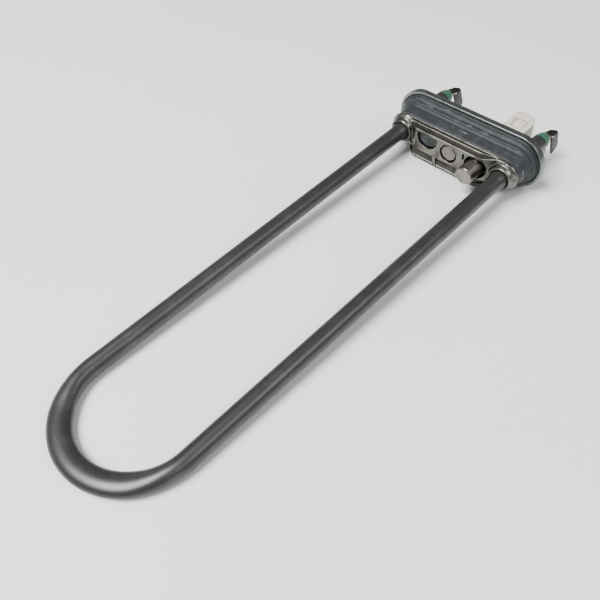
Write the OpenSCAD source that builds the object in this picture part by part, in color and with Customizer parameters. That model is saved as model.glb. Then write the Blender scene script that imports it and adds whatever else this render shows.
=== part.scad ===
// Tubular heating element of a washing machine on its oval clamped flange.
// X runs along the flange, +Y is the dry side with the terminals, +Z is up.
// The origin is the centre of the flange, level with the front face of its rim.

/* [Heating tube] */
// Outer diameter of the sheath
tube_d = 8.5; // [7.5:0.1:9.2]
// Wall of the sheath
tube_wall = 0.8; // [0.5:0.1:1.1]
// Distance between the axes of the two legs
leg_spacing = 61.8; // [58:0.2:70]
// From the rim's face to the centreline at the end of the loop
loop_reach = 250.9; // [160:1:340]
// Width of the loop where its end is pressed flat
press_width = 10.4; // [9.4:0.1:11.4]
// Height of the loop where its end is pressed flat
press_height = 6.5; // [6:0.1:7.4]
// Length of the sheath behind the rim's face
tube_tail = 20.4; // [16:0.2:24]
// How much the sheath is swaged up inside its boss
swage = 0.6; // [0.2:0.1:0.8]

/* [Heating core] */
// Diameter of a terminal pin
pin_d = 2.5; // [2:0.1:2.8]
// Cold length of a pin in front of the rim's face
pin_cold = 45; // [35:1:80]
// How far a pin stands out behind the sheath
pin_tail = 11.8; // [11:0.2:16]
// Outer diameter of the resistance coil
coil_d = 3.9; // [3.7:0.1:4]
// Wire of the resistance coil
wire_d = 0.5; // [0.4:0.05:0.55]
// Pitch of the resistance coil along a leg
coil_pitch = 4.6; // [4:0.1:8]
// Radial gap round the coil
coil_gap = 0.15; // [0.1:0.05:0.2]

/* [Terminals] */
// Length of the resin bead behind the sheath
bead_l = 7.2; // [5:0.2:8.4]
// How deep the resin plugs the sheath
plug_l = 7; // [4:0.5:12]
// Width of a spade
spade_w = 6.3; // [4.8:0.1:7]
// Thickness of a spade
spade_t = 0.8; // [0.5:0.1:1]
// Drop of a spade's tip below its pin
spade_drop = 13.2; // [10:0.2:16]
// Outer radius of the spade's bend
spade_bend = 2.6; // [2:0.1:3.4]
// Lean of a spade away from the flange, in degrees
spade_lean = 22; // [10:1:28]
// Flat of the spade that is welded on the pin
spade_land = 1.6; // [1:0.1:2.4]
// Width of that flat along the pin
land_w = 3.8; // [3:0.1:4.2]

/* [Rubber seal] */
// Height of the seal at the rim
seal_h = 26.5; // [25:0.5:32]
// From a leg's axis to the end of the seal
end_margin = 11.8; // [11:0.1:14]
// How far the seal reaches into the tub
seal_reach = 12.3; // [10:0.1:18]
// How much smaller the nose is than the rim, on each side
nose_inset = 4.5; // [3.5:0.1:4.6]
// Size of the sealing ridge round the seal
ridge = 1.4; // [0.8:0.1:1.6]

/* [Outer plate] */
// Width of the plate's raised rim
rim_w = 1.75; // [1.2:0.05:3]
// Depth of the plate from its front to its back
rim_depth = 3.6; // [3:0.1:6]
// Thickness of the plate's floor
floor_t = 1.8; // [1:0.1:2.4]
// Radius of the rim's edges
rim_round = 0.5; // [0.2:0.1:0.6]

/* [Clamp bracket] */
// Depth of the bracket in front of the seal
bracket_depth = 5; // [4.4:0.1:7]
// Thickness of the bracket's flange on the seal
bracket_base = 0.8; // [0.6:0.1:1.4]
// Radius of a boss at its mouth
mouth_r = 6.3; // [6:0.1:6.6]
// Radius of a boss at its foot
foot_r = 8; // [7.4:0.1:8.4]
// Depth of the relief at the mouth of a boss
relief_depth = 2.4; // [1:0.1:3.4]
// Half height of the pocketed web between the bosses
web_half = 6.4; // [6.2:0.1:6.8]
// Thickness of the web's upper and lower lips
lip_t = 1.5; // [1:0.1:1.5]
// Drop of the lower fin below the axis
fin_drop = 12.4; // [11:0.1:13]
// How far the fin's face lies behind the web's face
fin_step = 0.9; // [0.5:0.1:1.5]
// How deep the rubber's cushion lies in the window
window_depth = 1.2; // [1:0.1:3.6]
// Radius of the window
window_r = 6.3; // [5:0.1:6.6]
// From the clamp bolt to the window
window_x = 13.5; // [12.5:0.1:14]

/* [Clamp bolt] */
// Thread diameter
bolt_d = 6; // [5:0.5:7]
// Diameter of the bolt's head
head_d = 9.2; // [8.8:0.1:9.8]
// Thickness of the bolt's head
head_t = 3.4; // [2.4:0.1:3.8]
// Length of the bolt behind the rim's face
bolt_tail = 15.5; // [14.6:0.1:18]
// Width across the nut's flats
nut_flats = 10; // [9:0.5:11]
// Height of the nut
nut_h = 5; // [4:0.1:5.4]
// Thickness of the washer
washer_t = 1.6; // [0.8:0.1:1.8]
// Diameter of the washer
washer_d = 12.5; // [12:0.1:13.5]

/* [Sensor] */
// From the clamp bolt to the sensor's axis
sensor_x = 16.4; // [16:0.1:17]
// Diameter of the sensor's sleeve
sensor_d = 9.7; // [9:0.1:9.8]
// Wall of the sensor's sleeve
sleeve_wall = 0.5; // [0.3:0.1:0.8]
// How far the sleeve reaches into the tub
sensor_reach = 26.6; // [20:0.2:34]
// Radial room for the seal's lip round the sleeve
lip_room = 1.4; // [1:0.1:1.4]
// Length of the seal's lip round the sleeve
lip_l = 1.6; // [0.6:0.1:3]
// Width of the plug housing
housing_w = 12.9; // [12:0.1:13.2]
// Height of the plug housing
housing_h = 9; // [8:0.1:10]
// From the rim's face to the end of the plug housing
housing_end = 32.2; // [28:0.2:38]
// Wall of the plug housing
housing_wall = 1.6; // [1:0.1:1.8]
// Width of a contact blade
blade_w = 2.2; // [1.5:0.1:2.6]
// Thickness of a contact blade
blade_t = 0.6; // [0.4:0.1:0.8]

/* [Earth tab] */
// Width of the earth tab
earth_w = 6.3; // [4.8:0.1:6.6]
// Thickness of the earth tab
earth_t = 0.8; // [0.5:0.1:1]
// Length of the earth tab's foot on the plate
earth_foot = 8; // [6:0.5:9]
// From the rim's face to the tip of the earth tab
earth_end = 27.6; // [20:0.2:28]

/* [Fits] */
// Radial clearance between neighbours
fit = 0.05; // [0.02:0.01:0.08]

/* [Hidden] */
$fn = 64;

LEFT = -1;
RIGHT = 1;

tube_r = tube_d / 2;
bore_r = tube_r - tube_wall;
swage_r = tube_r + swage;
leg_x = leg_spacing / 2;
bend_y = leg_x - loop_reach;
pin_r = pin_d / 2;
pin_front = -pin_cold;
pin_back = tube_tail + pin_tail;

seal_r = seal_h / 2;
seal_mid = leg_x + end_margin - seal_r;
nose_r = seal_r - nose_inset;
bracket_back = -seal_reach;
base_face = bracket_back - bracket_base;
bracket_face = bracket_back - bracket_depth;
fin_face = bracket_face + fin_step;
plate_back = rim_depth;
sensor_r = sensor_d / 2;
bolt_r = bolt_d / 2;
nut_front = plate_back + washer_t;
nut_back = nut_front + nut_h;
relief_r = swage_r + 0.35;
sensor_hole_r = sensor_r + lip_room;
channel_r = coil_d / 2 + coil_gap;

// Turns a shape built on the Z axis so that its axis runs along +Y
module along_y() {
    rotate([-90, 0, 0]) children();
}

// Revolves a profile of (radius, y) about an axis along Y
module turned(x = 0, z = 0) {
    translate([x, 0, z]) along_y() rotate_extrude() children();
}

// Round bar or bore along Y
module rod(r, y0, y1, x = 0, z = 0) {
    translate([x, y0, z]) along_y() cylinder(r = r, h = y1 - y0);
}

// Sweeps a profile of (radius, y) round an oval whose ends lie at plus and minus mid
module oval_sweep(mid) {
    turned(mid) children();
    turned(-mid) children();
    rotate([0, 90, 0]) linear_extrude(2 * mid, center = true) {
        children();
        mirror([1, 0]) children();
    }
}

// Extrudes an outline drawn in X and Z from y0 to y1
module slab(y0, y1) {
    translate([0, y1, 0]) rotate([90, 0, 0]) linear_extrude(y1 - y0) children();
}

// Extrudes an outline drawn in Y and Z from x0 to x1
module beam(x0, x1) {
    translate([x0, 0, 0]) rotate([90, 0, 90]) linear_extrude(x1 - x0) children();
}

// Heating tube

BEND_STEPS = 28;
BEND_SIDES = 24;
JOIN = 0.5;
SEAM = 0.02;

// Share of the pressing at an angle round the loop, none at its ends and all at its apex
function pressed(a) =
    let (t = min(1, max(0, (90 - abs(a - 90)) / 75 - 0.15) / 0.5)) t * t * (3 - 2 * t);

// One ring of the loop at angle a, shrunk all round by an inset
function loop_ring(a, inset) =
    let (w = pressed(a),
        half_w = tube_r + (press_width / 2 - tube_r) * w - inset,
        half_h = tube_r + (press_height / 2 - tube_r) * w - inset)
    [for (i = [0:BEND_SIDES - 1])
        let (s = 360 * i / BEND_SIDES, r = leg_x + half_w * cos(s))
        [r * cos(a), bend_y - r * sin(a), half_h * sin(s)]];

// A ring of a leg, where it runs into the loop
function leg_ring(side, inset) =
    [for (i = [0:BEND_SIDES - 1])
        let (s = 360 * i / BEND_SIDES)
        [side * (leg_x + (tube_r - inset) * cos(s)), bend_y + JOIN, (tube_r - inset) * sin(s)]];

// The loop as a loft from one leg to the other
module loop_loft(inset) {
    rings = concat([leg_ring(RIGHT, inset)],
        [for (k = [0:BEND_STEPS]) loop_ring(180 * k / BEND_STEPS, inset)],
        [leg_ring(LEFT, inset)]);
    n = len(rings);
    m = BEND_SIDES;
    faces = concat([[for (i = [0:m - 1]) i]],
        [for (k = [0:n - 2], i = [0:m - 1])
            [k * m + i, (k + 1) * m + i, (k + 1) * m + (i + 1) % m, k * m + (i + 1) % m]],
        [[for (i = [m - 1:-1:0]) (n - 1) * m + i]]);
    polyhedron([for (ring = rings, p = ring) p], faces, convexity = 6);
}

// One leg of the sheath, swaged up where the bracket grips it
module leg_sheath(x) {
    swage_front = bracket_face - 1.2;
    turned(x) polygon([[bore_r, bend_y], [tube_r, bend_y], [tube_r, swage_front - 3.2],
        [swage_r, swage_front], [swage_r, bracket_back], [tube_r, bracket_back + swage],
        [tube_r, tube_tail - 0.3], [tube_r - 0.3, tube_tail], [bore_r, tube_tail]]);
}

module heating_tube() {
    color("dimgray") {
        leg_sheath(-leg_x);
        leg_sheath(leg_x);
        difference() {
            loop_loft(SEAM);
            loop_loft(tube_wall + SEAM);
            for (x = [-leg_x, leg_x]) rod(bore_r, bend_y, bend_y + 2 * JOIN, x);
        }
    }
}

// Heating core

fill_back = tube_tail - plug_l;
coil_overlap = 4;

// Packed magnesium oxide in one leg, bored for the pin and for the coil
module leg_fill(x) {
    turned(x) polygon([[channel_r, bend_y], [bore_r - fit, bend_y], [bore_r - fit, fill_back],
        [pin_r + fit, fill_back], [pin_r + fit, pin_front + coil_overlap],
        [channel_r, pin_front + coil_overlap]]);
}

module insulation_fill() {
    color("white") {
        leg_fill(-leg_x);
        leg_fill(leg_x);
        difference() {
            loop_loft(tube_wall + 1.5 * fit);
            translate([0, bend_y, 0]) rotate_extrude() translate([leg_x, 0]) circle(channel_r);
            for (x = [-leg_x, leg_x])
                rod(channel_r + 0.5 * fit, bend_y - 4 * fit, bend_y + 2 * JOIN, x);
        }
    }
}

COIL_STEPS = 7;
COIL_SIDES = 3;
coil_mean = (coil_d - wire_d) / 2;
leg_run = pin_front + coil_overlap - bend_y - 0.5;
bend_run = PI * leg_x;
core_run = 2 * leg_run + bend_run;
coil_turns = round(core_run / coil_pitch);

// Point and heading at a distance s along the core: [point, outward normal]
function core_frame(s) =
    s < leg_run ? [[leg_x, bend_y + leg_run - s, 0], [1, 0, 0]] :
    s > leg_run + bend_run ? [[-leg_x, bend_y + s - leg_run - bend_run, 0], [-1, 0, 0]] :
    let (a = 180 * (s - leg_run) / bend_run)
    [[leg_x * cos(a), bend_y - leg_x * sin(a), 0], [cos(a), -sin(a), 0]];

// One corner of the wire, w round the coil and v round the wire
function coil_point(s, w, v) =
    let (f = core_frame(s), r = coil_mean + wire_d / 2 * cos(v),
        along = wire_d / 2 * sin(v), n = f[1], t = [n[1], -n[0], 0])
    f[0] + r * cos(w) * n + [0, 0, r * sin(w)] + along * t;

module resistance_coil() {
    count = coil_turns * COIL_STEPS;
    points = [for (k = [0:count], i = [0:COIL_SIDES - 1])
        coil_point(core_run * k / count, 360 * k / COIL_STEPS, 360 * i / COIL_SIDES)];
    m = COIL_SIDES;
    faces = concat([[for (i = [m - 1:-1:0]) i]],
        [for (k = [0:count - 1], i = [0:m - 1])
            [k * m + i, k * m + (i + 1) % m, (k + 1) * m + i]],
        [for (k = [0:count - 1], i = [0:m - 1])
            [k * m + (i + 1) % m, (k + 1) * m + (i + 1) % m, (k + 1) * m + i]],
        [[for (i = [0:m - 1]) count * m + i]]);
    color("silver") polyhedron(points, faces, convexity = 10);
}

// Terminal pin, resin seal and spade of one leg

module terminal_pin(x) {
    color("gray") rod(pin_r, pin_front, pin_back, x);
}

// Resin plug in the sheath with a sagging bead on its end
module end_seal(x) {
    inner = pin_r + fit;
    bead_end = tube_tail + bead_l;
    color("seagreen") {
        turned(x) polygon([[inner, fill_back + fit], [bore_r - fit, fill_back + fit],
            [bore_r - fit, tube_tail + fit], [tube_r - 0.1, tube_tail + fit],
            [tube_r, tube_tail + 0.16 * bead_l], [tube_r - 0.15, tube_tail + 0.48 * bead_l],
            [0.78 * tube_r, tube_tail + 0.76 * bead_l], [0.55 * tube_r, tube_tail + 0.93 * bead_l],
            [pin_r + 0.5, bead_end], [inner, bead_end]]);
    }
}

// Land on the pin and bend of a spade, seen along the pin
module spade_profile() {
    outer = spade_bend;
    inner = spade_bend - spade_t;
    top = pin_r + fit + spade_t;
    translate([-spade_land, top - spade_t]) square([2 * spade_land - 0.6, spade_t]);
    translate([spade_land - 0.6, top - outer]) intersection() {
        difference() {
            circle(outer);
            circle(inner);
        }
        square(outer);
    }
}

// Hanging blade of a spade seen from its side, leaning away from the flange
module spade_blade() {
    top = pin_r + fit + spade_t - spade_bend;
    run = (spade_drop + top) / cos(spade_lean);
    w = spade_w;
    cut = 0.35 * w;
    translate([0, top]) intersection() {
        rotate(spade_lean) polygon([[0, w], [0, 0.5 - run], [0.15, 0.15 - run], [0.5, -run],
            [w - cut, -run], [w - 0.3 * cut, 0.3 * cut - run], [w, cut - run], [w, w]]);
        translate([0, -2 * run]) square([3 * run, 2 * run]);
    }
}

// Plan of a spade's land and bend: narrow on the pin, as wide as the blade below
module spade_plan() {
    side = blade_in + spade_t;
    back = spade_w / cos(spade_lean);
    polygon([[0.4 - spade_land, 0.9], [spade_land - 0.4, 0.9], [blade_in, 0], [side, 0],
        [side, back], [blade_in, back - 0.4], [spade_land - 0.4, land_w + 0.9],
        [spade_land - 0.8, land_w + 0.7], [0, 0.6 * land_w + 0.9]]);
}

spade_front = tube_tail + bead_l - 0.7;
blade_in = spade_land - 0.6 + spade_bend - spade_t;

module spade_terminal(x) {
    color("dimgray") translate([x, spade_front, 0]) {
        intersection() {
            slab(0, 2 * spade_w) spade_profile();
            linear_extrude(4 * spade_bend, center = true) spade_plan();
        }
        beam(blade_in, blade_in + spade_t) spade_blade();
    }
}

// Rubber seal

// Half profile of the seal, from its nose to its flange in the plate
module seal_profile() {
    r = seal_r - fit;
    polygon([[0, -seal_reach], [nose_r - 0.8, -seal_reach], [nose_r, -seal_reach + 0.8],
        [nose_r + 0.25 * nose_inset, -0.5 * seal_reach],
        [seal_r - 1.3 - ridge, -0.43 * seal_reach], [seal_r - 1.7, -0.38 * seal_reach],
        [seal_r - 1.6, -0.31 * seal_reach], [seal_r - 1.2 - 0.7 * ridge, -0.25 * seal_reach],
        [seal_r - 1, -0.16 * seal_reach], [seal_r - 0.9, -0.1 * seal_reach],
        [seal_r - 0.4 * ridge, -0.06 * seal_reach], [r, -0.02 * seal_reach],
        [r, rim_depth - floor_t - fit], [0, rim_depth - floor_t - fit]]);
}

module rubber_seal() {
    back = rim_depth - floor_t + 1;
    color("slategray") difference() {
        union() {
            oval_sweep(seal_mid) seal_profile();
            slab(bracket_face + window_depth, bracket_back + 1) window_outline(2 * fit);
            slab(bracket_back - lip_l, bracket_back + 1) sensor_hole_outline(2 * fit);
        }
        for (x = [-leg_x, leg_x]) turned(x) polygon([[0, bracket_back - 1],
            [swage_r + fit, bracket_back - 1], [swage_r + fit, bracket_back],
            [tube_r + fit, bracket_back + swage], [tube_r + fit, back], [0, back]]);
        rod(bolt_r + fit, bracket_back - 1, back);
        rod(sensor_r + fit, bracket_back - lip_l - 1, back, sensor_x);
    }
}

// Outer plate: a tray of pressed steel with a raised rim

plate_r = seal_r + rim_w;

// Half profile of the plate as a solid block
module plate_profile() {
    small = 0.3 * rim_round;
    polygon([[0, 0], [plate_r - rim_round, 0], [plate_r - small, small], [plate_r, rim_round],
        [plate_r, plate_back - rim_round], [plate_r - small, plate_back - small],
        [plate_r - rim_round, plate_back], [0, plate_back]]);
}

// Half profile of the room for the seal inside the rim
module seal_room() {
    polygon([[0, -1], [seal_r, -1], [seal_r, rim_depth - floor_t], [0, rim_depth - floor_t]]);
}

module outer_plate() {
    color("lightgray") difference() {
        oval_sweep(seal_mid) plate_profile();
        oval_sweep(seal_mid) seal_room();
        for (x = [-leg_x, leg_x]) rod(tube_r + 6 * fit, 0, plate_back + 1, x);
        rod(bolt_r + 4 * fit, 0, plate_back + 1);
        rod(sensor_r + 2 * fit, 0, plate_back + 1, sensor_x);
    }
}

// Clamp bracket: the die-cast piece on the tub side

lip_in = web_half - lip_t;
fin_left = 22.4;
fin_right = 15.9;
fin_top = 5;

// Boss round a leg, with a rounded shoulder and a thin lip at its mouth
module boss(x) {
    shoulder = base_face - 0.9;
    turned(x) polygon([[0, bracket_back], [foot_r + 0.3, bracket_back], [foot_r + 0.3, base_face],
        [foot_r, shoulder], [foot_r - 0.4, shoulder - 0.4], [foot_r - 1, shoulder - 0.6],
        [mouth_r + 0.2, bracket_face + 0.9], [mouth_r, bracket_face + 0.3],
        [mouth_r - 0.2, bracket_face], [0, bracket_face]]);
}

// Outline of the flange that the bracket lays on the seal
module base_outline() {
    mid = seal_mid;
    r = nose_r - 0.1;
    translate([-mid, -r]) square([2 * mid, 2 * r]);
    for (x = [-mid, mid]) translate([x, 0]) circle(r);
}

// Section of the web between the bosses, with a slight draft
module web_section() {
    polygon([[bracket_back, -web_half - 0.3], [bracket_back, web_half + 0.4],
        [bracket_face + 0.3, web_half], [bracket_face, web_half - 0.3],
        [bracket_face, -web_half + 0.3], [bracket_face + 0.3, -web_half]]);
}

// Web between the bosses, falling off to the flange beside each boss
module web() {
    intersection() {
        beam(-leg_x, leg_x) web_section();
        translate([0, 0, -fin_drop]) linear_extrude(2 * fin_drop) polygon([
            [-leg_x + 2.7, bracket_back], [-leg_x + 2.7, base_face], [-leg_x + 9.7, bracket_face],
            [leg_x - 10.1, bracket_face], [leg_x - 3.4, base_face - 0.4],
            [leg_x - 3.4, bracket_back]]);
    }
}

// Slanted shoulder that joins the web to the right boss, above the sensor
module shoulder() {
    start = sensor_x - 1;
    top = foot_r + 0.4;
    intersection() {
        slab(bracket_face, bracket_back) polygon([[start, -web_half + 0.4], [start, web_half - 0.1],
            [leg_x - 3.6, top], [leg_x, top], [leg_x, -web_half + 0.4]]);
        translate([0, 0, -fin_drop]) linear_extrude(2 * fin_drop) polygon([
            [start, bracket_back], [start, bracket_face], [sensor_x + 4.4, bracket_face],
            [leg_x - 4, base_face - 1.2], [leg_x, base_face - 1.2], [leg_x, bracket_back]]);
    }
}

// Fin below the web, with its slanted ends
module fin() {
    foot = leg_x - 2.4;
    end = leg_x - 6.4;
    intersection() {
        slab(fin_face, bracket_back) polygon([[-leg_x + 1.9, -fin_top], [-fin_left, -fin_drop],
            [fin_right, -fin_drop], [leg_x - 1.9, -fin_top]]);
        translate([0, 0, -2 * fin_drop]) linear_extrude(2 * fin_drop) polygon([
            [-foot, bracket_back], [-foot, base_face], [-end, fin_face], [end, fin_face],
            [foot, base_face], [foot, bracket_back]]);
    }
}

// Trough in the fin, deep under the web's lip and shallow at the bottom
module fin_trough() {
    deep = base_face - 0.1;
    edge = 0.5;
    intersection() {
        slab(fin_face - 1, bracket_back) polygon([[-leg_x + 4.4, -fin_top - 1.6],
            [-fin_left + 0.3, -fin_drop + edge], [fin_right - 0.3, -fin_drop + edge],
            [leg_x - 5.2, -fin_top - 1.6]]);
        beam(-leg_x, leg_x) polygon([[bracket_face - 1, -web_half - 0.1], [deep, -web_half - 0.1],
            [fin_face + 0.4, -fin_drop + edge], [bracket_face - 1, -fin_drop]]);
    }
}

// Gusset that stiffens the fin under the web
module gusset() {
    x = -0.38 * fin_left;
    slab(fin_face - 0.3, fin_face + 2.5) polygon([[x - 1.7, -web_half + 0.2],
        [x + 0.9, -web_half + 0.2], [x + 1.3, -fin_drop + 0.4], [x + 0.3, -fin_drop + 0.4]]);
}

// Window left of the bolt, round below and cut off by the upper lip, shrunk by an inset
module window_outline(inset) {
    intersection() {
        translate([-window_x, lip_in - 1.3]) circle(window_r - inset);
        translate([-2 * leg_x, -2 * web_half]) square([2 * leg_x, 2 * web_half + lip_in - inset]);
    }
}

// Recess that takes the bolt's head, a little off to the right, with a shallow square corner
module head_recess() {
    deep = bracket_face + 0.4 + head_t;
    r = head_d / 2 + 0.4;
    slab(bracket_face - 1, deep) translate([0.3, 0.15]) circle(r);
    slab(bracket_face - 1, bracket_face + 0.6)
        translate([-r - 0.5, 0.2 * r]) square([r + 0.5, lip_in - 0.2 - 0.2 * r]);
}

// Hole round the sensor, cut off by the upper lip, shrunk by an inset
module sensor_hole_outline(inset) {
    intersection() {
        translate([sensor_x + 0.3, 0]) circle(sensor_hole_r - inset);
        translate([0, -2 * web_half]) square([leg_x, 2 * web_half + lip_in - inset]);
    }
}

// Small recess between the rib and the sensor
module side_recess() {
    slab(bracket_face - 1, bracket_face + 2)
        translate([head_d / 2 + 4.3, 0.2 * lip_in]) square([0.9, 0.8 * lip_in - 0.2]);
}

module clamp_bracket() {
    color("darkgray") difference() {
        union() {
            boss(-leg_x);
            boss(leg_x);
            slab(base_face, bracket_back) base_outline();
            web();
            shoulder();
            difference() {
                fin();
                fin_trough();
            }
            gusset();
        }
        for (x = [-leg_x, leg_x]) {
            rod(swage_r + fit, bracket_face - 1, bracket_back + 1, x);
            rod(relief_r, bracket_face - 1, bracket_face + relief_depth, x);
        }
        rod(bolt_r + 2 * fit, bracket_face - 1, bracket_back + 1);
        slab(bracket_face - 1, bracket_back + 1) sensor_hole_outline(0);
        slab(bracket_face - 1, bracket_back + 1) window_outline(0);
        head_recess();
        side_recess();
    }
}

// Clamp bolt with its washer and nut

head_front = bracket_face + 0.4;

module clamp_bolt() {
    r = head_d / 2;
    back = bolt_tail;
    color("silver") turned() polygon([[0, head_front], [r - 1.2, head_front],
        [r - 0.4, head_front + 0.3], [r, head_front + 1], [r, head_front + head_t - fit],
        [bolt_r, head_front + head_t - fit], [bolt_r, back - 0.6], [bolt_r - 0.6, back],
        [0, back]]);
}

module clamp_washer() {
    color("gainsboro") turned() polygon([[bolt_r + 4 * fit, plate_back],
        [washer_d / 2 - 0.2, plate_back], [washer_d / 2, plate_back + 0.2],
        [washer_d / 2, nut_front - 0.2], [washer_d / 2 - 0.2, nut_front],
        [bolt_r + 4 * fit, nut_front]]);
}

// Hexagon nut with its corners turned down at both ends
module clamp_nut() {
    corner = nut_flats / 2 / cos(30);
    color("silver") difference() {
        intersection() {
            translate([0, nut_front, 0]) along_y() cylinder(r = corner, h = nut_h, $fn = 6);
            turned() polygon([[0, nut_front], [corner - 0.6, nut_front], [corner, nut_front + 0.4],
                [corner, nut_back - 0.4], [corner - 0.6, nut_back], [0, nut_back]]);
        }
        rod(bolt_r + fit, nut_front - 1, nut_back + 1);
    }
}

// Earth tab: a foot on the plate and a blade that stands beside the right leg

earth_x = leg_x + 1.8;
earth_top = -tube_r - 2.2;

module earth_tab() {
    color("gainsboro") {
        difference() {
            translate([earth_x - earth_t, plate_back, earth_top - earth_w])
                cube([earth_t, earth_end - plate_back, earth_w]);
            translate([earth_x - 2 * earth_t, earth_end - 3, earth_top - earth_w / 2])
                rotate([0, 90, 0]) cylinder(d = 1.6, h = 4 * earth_t);
            for (s = [LEFT, RIGHT])
                translate([earth_x - 2 * earth_t, earth_end, earth_top - earth_w / 2 + s * earth_w / 2])
                    rotate([45, 0, 0]) cube([4 * earth_t, 1.6, 1.6], center = true);
        }
        translate([earth_x - earth_foot, plate_back, earth_top - earth_w])
            cube([earth_foot, earth_t, earth_w]);
    }
}

// Temperature sensor

sleeve_back = plate_back + 1;
cavity_r = sensor_r - sleeve_wall;
bead_y = -sensor_reach + 3.2;
lead_x = 1.3;
lead_r = 0.3;
neck_front = -6;
contact_front = plate_back + 3;

module sensor_sleeve() {
    tip = -sensor_reach;
    color("silver") turned(sensor_x) polygon([[0, tip], [sensor_r - 0.8, tip],
        [sensor_r - 0.25, tip + 0.25], [sensor_r, tip + 0.8], [sensor_r, sleeve_back],
        [cavity_r, sleeve_back], [cavity_r, tip + 1], [0, tip + 1]]);
}

module lead_pair(r, y0, y1) {
    for (s = [LEFT, RIGHT]) rod(r, y0, y1, sensor_x + s * lead_x);
}

// Heat-conducting compound round the thermistor
module sensor_filling() {
    color("tan") difference() {
        rod(cavity_r - fit, -sensor_reach + 1 + fit, neck_front - fit, sensor_x);
        translate([sensor_x, bead_y, 0]) sphere(2 + fit);
        lead_pair(lead_r + fit, bead_y, neck_front);
    }
}

module thermistor_bead() {
    color("black") difference() {
        translate([sensor_x, bead_y, 0]) sphere(2);
        lead_pair(lead_r + fit, bead_y + 1, bead_y + 3);
    }
}

module sensor_leads() {
    color("silver") lead_pair(lead_r, bead_y + 1, contact_front);
}

housing_front = plate_back;
socket_front = housing_front + 9;

// Plan of the plug housing: square at the plate and rounded at its far end
module housing_plan(inset) {
    w = housing_w / 2 - inset;
    small = 2.6 - inset;
    large = 6.4 - inset;
    end = housing_end - inset;
    translate([-w, housing_front + 1]) square([2 * w, end - large - housing_front - 1]);
    translate([-w + small, housing_front + 1]) square([2 * w - small - large, end - housing_front - 1]);
    translate([-w + small, end - small]) circle(small);
    translate([-w, end - large - 1]) square([w, large - small + 1]);
    translate([w - large, end - large]) circle(large);
}

module sensor_housing() {
    mid = housing_h / 2;
    window_w = 6.5;
    window_front = housing_end - 13.4;
    window_back = housing_end - 5.6;
    color("ivory") difference() {
        union() {
            difference() {
                translate([sensor_x + 0.3, 0, -mid]) linear_extrude(housing_h) housing_plan(0);
                rod(sensor_r + fit, housing_front, sleeve_back + fit, sensor_x);
            }
            rod(cavity_r - fit, neck_front, sleeve_back + 1, sensor_x);
        }
        translate([sensor_x + 0.3 - housing_w / 2 + housing_wall, socket_front, -mid + housing_wall])
            cube([housing_w - 2 * housing_wall, housing_end, housing_h - 2 * housing_wall]);
        translate([sensor_x + 0.3 - window_w / 2, window_front, mid - 0.6])
            cube([window_w, window_back - window_front, 1]);
        lead_pair(lead_r + fit, neck_front - 1, contact_front + 1);
        for (s = [LEFT, RIGHT]) translate([sensor_x + s * 2.4, 0, 0])
            translate([-blade_w / 2 - fit, contact_front - fit, -blade_t / 2 - fit])
            cube([blade_w + 2 * fit, socket_front, blade_t + 2 * fit]);
    }
}

module sensor_contacts() {
    color("gold") for (s = [LEFT, RIGHT])
        translate([sensor_x + s * 2.4 - blade_w / 2, contact_front, -blade_t / 2])
            cube([blade_w, housing_end - 7.4 - contact_front, blade_t]);
}

heating_tube();
insulation_fill();
resistance_coil();
terminal_pin(-leg_x);  // terminal_pin_left
terminal_pin(leg_x);  // terminal_pin_right
end_seal(-leg_x);  // end_seal_left
end_seal(leg_x);  // end_seal_right
spade_terminal(-leg_x);  // spade_terminal_left
spade_terminal(leg_x);  // spade_terminal_right
rubber_seal();
outer_plate();
clamp_bracket();
clamp_bolt();
clamp_washer();
clamp_nut();
earth_tab();
sensor_sleeve();
sensor_filling();
thermistor_bead();
sensor_leads();
sensor_housing();
sensor_contacts();
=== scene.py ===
"""Looks of a washing machine heating element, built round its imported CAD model.

Units are metres in the CAD frame: X runs along the flange, +Y is the dry side, +Z is up.
Sizes written in millimetres are multiplied by MM, and the rest come from the CAD nodes' boxes.
"""

import logging
import math
from dataclasses import dataclass
from enum import Enum
from typing import Callable, Iterable, Sequence

import bmesh
import bpy
from mathutils import Matrix, Vector


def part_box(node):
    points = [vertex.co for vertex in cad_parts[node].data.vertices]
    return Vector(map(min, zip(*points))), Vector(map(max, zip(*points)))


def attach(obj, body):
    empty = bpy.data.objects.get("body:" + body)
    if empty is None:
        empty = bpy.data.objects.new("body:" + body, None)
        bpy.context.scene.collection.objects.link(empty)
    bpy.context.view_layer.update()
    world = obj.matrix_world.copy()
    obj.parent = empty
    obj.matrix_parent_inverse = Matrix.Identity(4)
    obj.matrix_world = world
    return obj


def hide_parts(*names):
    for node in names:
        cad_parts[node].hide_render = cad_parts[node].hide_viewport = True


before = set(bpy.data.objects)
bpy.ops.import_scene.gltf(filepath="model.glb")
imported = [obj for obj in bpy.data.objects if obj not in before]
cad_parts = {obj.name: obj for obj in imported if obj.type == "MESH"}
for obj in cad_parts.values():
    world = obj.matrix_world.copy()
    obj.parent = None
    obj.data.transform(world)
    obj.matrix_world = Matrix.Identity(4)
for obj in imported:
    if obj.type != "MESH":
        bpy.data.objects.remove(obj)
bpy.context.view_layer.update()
NODES: dict[str, bpy.types.Object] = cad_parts
BODY = "root"
MM = 0.001

logging.basicConfig(level=logging.INFO, format="%(message)s")
LOG = logging.getLogger("heating_element")

Point = tuple[float, float, float]
Profile = Sequence[tuple[float, float]]
Socket = bpy.types.NodeSocket
Tree = bpy.types.NodeTree
Shape = bmesh.types.BMesh


# Colour and node helpers


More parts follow.
